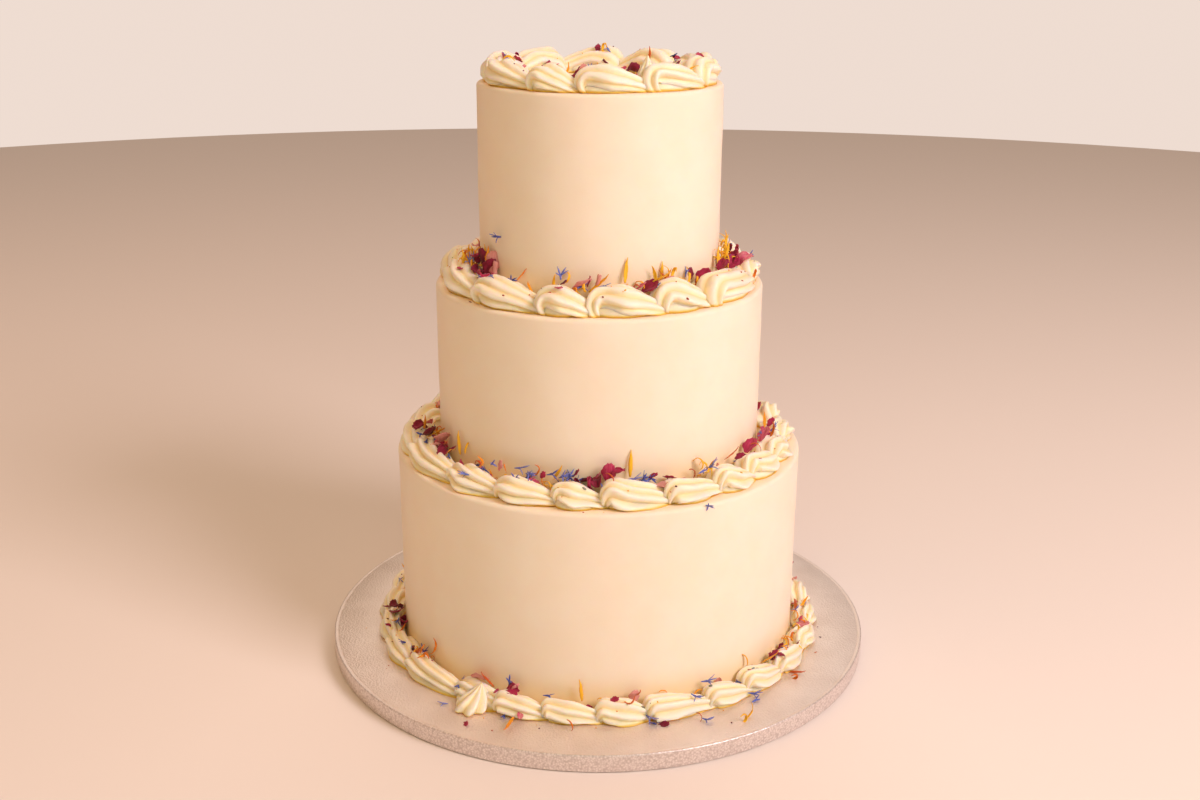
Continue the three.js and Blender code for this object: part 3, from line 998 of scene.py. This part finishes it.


# %% [markdown]
# The petals that catch the eye from the front are placed one by one, border by border. An
# entry is a letter for the kind (r rose, m marigold, c cornflower, b crumb, s seed) with the
# number of the form, and then azimuth, radius, tint, yaw, pitch and height above the ledge.
# Without a pitch the petal lies along the icing, and without a height it rests on it.

# %% Petals placed one by one
KINDS = {"r": "rose", "m": "marigold", "c": "cornflower", "b": "crumb", "s": "seed"}
BY_HAND = {
    "top": """
        m2 -186 58 .1 20, r3 -196 52 .3 60, m0 -176 56 0 100 25, c1 -190 56 .5 60 30,
        r3 -188 57 .6 10 35, r2 -206 59 .25 90, r1 -113 50 .15 40 20 6, m1 -116 52 .3 80 10 6,
        r3 -107 51 .1 120 30 8, m2 88 59 .1 30 40, c2 84 59 .5 90 50, r3 92 59 .2 0 20,
        r1 -84 48 .4 90 5 9, r3 -78 49 .5 60 10 10, r1 -72 48 .1 120 20 10, r3 10 62 .5 120,
        m1 -42 66 .1 160 55 4, r3 -46 64 .1 100, b0 -135 62 .1 40, b2 -130 60 .2 0, b2 -122 62 .3 0
    """,
    "middle": """
        m0 -166 82 .2 60 60 12, m2 -162 84 .1 130 40 14, m1 -158 82 .3 20 50 16,
        m1 -154 79 .1 100 20 20, r1 -152 81 .1 50 40 12, r0 -148 80 .15 100 50 12,
        r2 -143 79 .75 10 80 12, r3 -156 92 .35 60, r1 -146 86 .35 90 10 14, c1 -157 84 .6 30 70 15,
        m3 -168 82 .6 30 60 20, c1 -141 74.2 .35 0 10 36, c2 -133 92 .6 30, r3 -138 84 .5 30 20 14,
        b1 -141 98 0 90, b1 -142 104 0 60, c0 -106 79 .5 20 55 18, m2 -104 80 .1 80 20 16,
        r3 -106 80 .1 80 10 15, r0 -101 80 .7 90 15 12, c1 -99 81 .4 120 20 13,
        m1 -109 80 .15 0 50 10, r3 -104 95 .5 60, b1 -107 96 .45 60, r3 -95 79 .3 110 50 14,
        r2 -91 79 .8 20 60 14, c2 -90 80 .5 80 10 14, m0 -94 80 .2 100 30 11,
        m0 -79 78 .05 165 66 16, m3 -87 80 .3 80 10 13, r3 -75 83 .55 90 10 13,
        r0 -72 81 .2 80 20 11, m2 -71 80 .3 60 60 12, m0 -68 80 .1 30 20 15,
        m1 -66 81 .05 150 30 14, c2 -69 83 .5 60 30 12, m0 -62 77 .05 0 84 14,
        m1 -60 79 .1 60 45 16, m2 -58 80 .1 150 20 17, m3 -56 79 .1 0 70 14, r3 -60 82 .7 90,
        m0 -64 80 .2 100 30 13, r0 -44 80 .3 70 30 11, r1 -39 82 .35 90 20 13, r3 -47 79 .1 0 70 14,
        m3 -46 82 .9 120 -30 12, c2 -50 79 .4 0 80 16, m1 -49 80 .1 30 60 12,
        m2 -20 80 .05 40 60 16, m0 -14 79 .05 100 60 18, m1 -10 81 .05 0 70 16,
        m2 -6 80 .1 60 30 20, m0 -24 80 .1 150 70 12, m2 2 80 .1 60 50 16, r0 -17 84 .35 60 40 14,
        r1 -12 88 .6 30 50 14, r3 -5 86 .3 60 60 18, c2 -8 92 .4 30 40 16, c2 -16 80 .2 30 70 16,
        m2 -15 98 .6 90, b2 -22 95 .3 0, b2 -28 96 .3 0, b0 -33 101 .3 30, b0 -60 101 .3 30,
        m0 -161 80 .15 70 35 18, m2 -158 79 .2 -40 50 20, m2 -155 80 .3 60 60 20,
        m2 -164 81 .1 150 40 18, m3 -160 79 .1 100 60 24, m1 -150 79 .35 80 30 20,
        r0 -152 79 .1 30 60 17, r0 -145 78 .7 20 85 14, r1 -156 80 .3 40 60 18,
        m2 -153 80 .75 90 60 16, c1 -156 83 .7 60 60 18, m1 -148 79 .5 40 70 18, m2 -165 86 .1 40,
        m1 -160 88 .05 100, m2 -22 79 .05 0 60 16, m1 -18 79 .05 60 70 18, m0 -17 80 .05 -40 65 16,
        m2 -12 79 .1 120 50 22, m0 -9 79 .1 30 75 20, m2 -3 79 .05 60 60 22, m1 -1 79 .05 0 60 22,
        c2 -12 80 .6 60 60 22, r3 -14 82 .05 60 60 22, r0 -20 84 .3 80 20 14
    """,
    "bottom": """
        r1 -170 112 .2 40 30 14, r0 -165 110 .1 80 20 12, r3 -160 109 .1 60 10 13,
        m1 -168 114 .4 100 30 14, m0 -163 112 .3 150 20 12, c2 -162 116 .2 40 20 14,
        r0 -156 108 .7 90 25 13, m0 -152 108 .8 70 15 13, r1 -149 108 .15 40 15 12,
        r3 -147 109 .2 110 10 13, m3 -146 106 .2 30 50 13, m0 -143 106 .05 0 78 12,
        m1 -140 106 .05 20 75 14, c2 -145 112 .2 60, c2 -158 116 .1 60, c1 -130 124 .5 -60,
        m1 -129 112 .4 90 10 13, r3 -123 108 .7 20 70 12, m3 -121 108 .5 20 50 16,
        c2 -126 108 .5 60 30 14, c1 -117 107 .55 90 10 15, c0 -113 107 .5 60 10 13,
        r3 -108 108 .35 40 40 12, m1 -110 107 .5 100 30 13, c1 -106 107 .4 80 20 14,
        m0 -104 106 .1 40 40 12, c0 -102 107 .5 60 30 13, c0 -100 109 .5 160 20 13,
        r3 -98 106 .2 90 30 14, s0 -94 118 .5 70, r3 -92 108 .25 80 20 13, c1 -89 112 .55 20 -20 12,
        r0 -87 108 .4 15 72 12, r1 -86 107 .3 100 60 13, m0 -80 106 .05 0 86 14,
        c1 -81 108 .55 80 5 13, c0 -77 109 .45 40 10 12, r3 -74 108 .25 90 5 13, r0 -71 115 .85 60,
        m3 -86 116 .9 40, b0 -82 122 .7 0, b0 -101 121 .7 30, b0 -69 125 0 30,
        m3 -60 108 .9 90 5 14, m2 -56 109 .1 40 30 13, c1 -54 110 .6 30 40 13,
        m1 -55 113 .2 140 10 12, c2 -58 112 .5 100 10 12, m0 -45 108 .7 80 10 14,
        r3 -41 110 .2 80 10 13, r0 -34 109 .4 90 15 13, r3 -29 108 .5 60 20 13, m3 -32 116 .6 30,
        b1 -36 121 .2 60, r0 -22 109 .55 70 20 13, r1 -17 109 .45 80 20 13, c1 -14 112 .4 30 40 14,
        m1 -18 114 .6 60 30 14, r3 -8 110 .3 60 30 14, m0 -10 108 .3 90 20 14,
        c0 -60 129 .5 -30 10 -1, b0 -48 126 .9 30
    """,
    "board": """
        r1 -172 138 .1 60, r3 -175 142 .2 30, r0 -168 136 .15 90, c0 -163 137 .3 60,
        m3 -161 137 .6 60, b0 -166 143 0 0, r0 -147 136 .7 80, r3 -144 134 .1 40, m0 -146 139 .6 70,
        m1 -141 134 .5 110 20 13, m3 -144 137 .5 30, c2 -151 142 .2 0, c2 -127 155 .6 -60,
        c2 -126 144 .3 30, r0 -122 136 .75 80, m0 -118 134 .7 -60 40 10, r1 -114 135 .35 60 30 11,
        r3 -112 136 .7 80 30 12, r3 -115 141 .35 30, c2 -113 134 .3 20 70 14, r3 -108 148 .62 20,
        m0 -109 152 .4 0 -18 4, c2 -112 149 .2 10, r3 -118 164 .4 80, b2 -112 164 .3 0,
        b2 -116 154 .8 0, m3 -96 152 .6 60, m0 -94 133 .1 10 70 9, m3 -90 133 .1 40 60 10,
        c2 -102 139 .3 80, r3 -86 139 .35 80, m0 -80 135 .6 10 30 13, m1 -83 144 .6 20,
        s0 -79 141 .4 60, c1 -78 147 .6 20, r3 -75 150 .1 80, c2 -77 149 .1 60,
        m3 -74 134 .4 80 30 13, c1 -62 134 .5 60 10 14, s0 -61 140 .3 30, c0 -66 144 .5 30,
        m3 -67 153 .8 60, c0 -65 155 .5 30, m2 -59 166 .1 100, m1 -57 163 .1 60, b2 -61 163 0 0,
        r3 -51 137 .5 30, b1 -48 139 .4 30, s0 -47 140 .4 90, s0 -45 139 .5 60, c1 -50 149 .4 40,
        c2 -51 152 .4 100, m0 -42 137 .3 10 30 12, m1 -46 133 .2 60 60 12, r1 -38 137 .2 60 20 12,
        r3 -37 139 .2 0, c2 -28 136 .2 60, m0 -34 150 .7 10, m2 -37 152 .6 60, b1 -22 152 .5 60,
        r3 -33 136 .15 50 30 12, m3 -30 138 .5 50, r0 -16 140 .65 60, r3 -10 138 .5 80,
        m2 -21 139 .1 60, m1 -5 138 .3 80, r3 -24 141 .15 60, c2 -4 140 .5 60, s0 -100 136 .5 30
    """,
}


def read_petal(entry):
    """The columns of one entry; one without a pitch or a height gets None for it."""
    name, *columns = entry.split()
    azimuth, radius, tint, yaw, *held = map(float, columns)
    pitch, rise = held + [None] * (2 - len(held))
    return KINDS[name[0]], int(name[1]), azimuth, radius, tint, yaw, pitch, rise


for ledge, petals in BY_HAND.items():
    for number, entry in enumerate(petals.split(",")):
        kind, form, *place = read_petal(entry)
        size = 1 + 0.15 * uneven(number, 21)
        lay(kind, form, ledge, *place, size, roll=40 * uneven(number, 22))
print("placed by hand:", sum(len(petals.split(",")) for petals in BY_HAND.values()))

# %% [markdown]
# The rest fell by chance. First come tangled heaps in the gutters at the front. They are held
# at a height, as petals that lie on petals are, and nothing tests what is under them. Then come
# small clusters round the back, single petals at the front and loose crumbs everywhere.

# %% Petals by chance
GUTTER = {"board": (133, 142), "bottom": (105, 112), "middle": (78, 84), "top": (44, 52)}
dice = random.Random(11)


def chance_petal(ledge, azimuth, radius, spread):
    """One petal of a kind drawn by its share in the mix."""
    kind = dice.choices(["rose", "marigold", "cornflower", "crumb"], [0.34, 0.32, 0.22, 0.12])[0]
    form = dice.randrange(len(MASTERS[kind]))
    pitch = dice.choice([None, dice.uniform(5, 40), dice.uniform(20, 70)]) if spread < 8 else None
    lay(
        kind, form, ledge, azimuth + dice.uniform(-spread, spread), radius, dice.random() ** 1.2,
        dice.uniform(0, 360), pitch, None, dice.uniform(0.5, 0.95), dice.uniform(-40, 40),
    )


# The heaps: kind, ledge, azimuth, spread, height and how many
for kind, ledge, azimuth, spread, height, count in [
    ("marigold", "middle", -158, 8, 17, 22), ("marigold", "middle", -10, 9, 18, 20),
    ("marigold", "middle", -59, 5, 13, 9), ("marigold", "middle", -100, 7, 12, 6),
    ("marigold", "bottom", -165, 6, 12, 9), ("marigold", "bottom", -105, 3, 11, 6),
    ("cornflower", "bottom", -99, 2, 11, 5), ("cornflower", "bottom", -112, 4, 11, 4),
    ("rose", "bottom", -92, 4, 10, 4), ("cornflower", "bottom", -76, 3, 11, 4),
    ("marigold", "bottom", -54, 3, 12, 5), ("marigold", "bottom", -12, 8, 12, 7),
    ("marigold", "board", -163, 5, 10, 5), ("rose", "board", -166, 4, 10, 4),
    ("marigold", "board", -144, 4, 10, 6), ("marigold", "board", -30, 7, 11, 9),
    ("marigold", "board", -10, 6, 10, 6),
]:
    for _ in range(count):
        radius = GUTTER[ledge][0] + dice.uniform(0, 7)
        lay(
            kind, dice.choice([2, 3, 3] if kind == "marigold" else [0, 1, 2]), ledge,
            azimuth + dice.uniform(-spread, spread), radius,
            0.6 * dice.random() ** 2, dice.uniform(0, 360), dice.uniform(-15, 55),
            height * dice.uniform(0.6, 1.15), dice.uniform(0.7, 1.1), dice.uniform(-60, 60),
        )

for ledge, (near, far) in GUTTER.items():
    clusters = {"board": 13, "bottom": 15, "middle": 11, "top": 6}[ledge]
    for cluster in range(clusters):
        azimuth = 12 + (cluster + dice.uniform(0.2, 0.8)) * 160 / clusters
        for _ in range(dice.randint(4, 9)):
            chance_petal(ledge, azimuth, dice.uniform(near, far), 4)
    for _ in range({"board": 26, "bottom": 60, "middle": 34, "top": 8}[ledge]):
        chance_petal(ledge, dice.uniform(-175, 0), dice.uniform(near, near + 5), 6)
    for _ in range(46):
        radius = dice.uniform(near, far + (16 if ledge != "top" else 12))
        form = dice.choice([0, 2, 2])
        lay("crumb", form, ledge, dice.uniform(0, 360), radius, dice.random(), dice.uniform(0, 360),
            size=dice.uniform(0.5, 1.0))


# %% One piece for each kind
def gather(kind, name, slot, matter):
    """Joins every petal of a kind."""
    start_piece()
    for petal in laid[kind]:
        petal.select_set(True)
    bpy.context.view_layer.objects.active = laid[kind][0]
    bpy.ops.object.join()
    piece = bpy.context.object
    piece.data.materials.clear()
    piece.data.materials.append(matter)
    bpy.ops.object.mode_set(mode="EDIT")
    bpy.ops.mesh.select_all(action="SELECT")
    bpy.ops.mesh.normals_make_consistent(inside=False)
    bpy.ops.object.mode_set(mode="OBJECT")
    settle(piece, name, slot)


gather("rose", "rose_petals", "rose_petal", rose_matter)
gather("marigold", "marigold_straps", "marigold_petal", marigold_matter)
gather("cornflower", "cornflower_florets", "cornflower_petal", cornflower_matter)
gather("crumb", "petal_crumbs", "rose_petal", crumb_matter)
gather("seed", "cornflower_seeds", "cornflower_petal", seed_matter)
for masters in MASTERS.values():
    for master in masters:
        bpy.data.objects.remove(master)
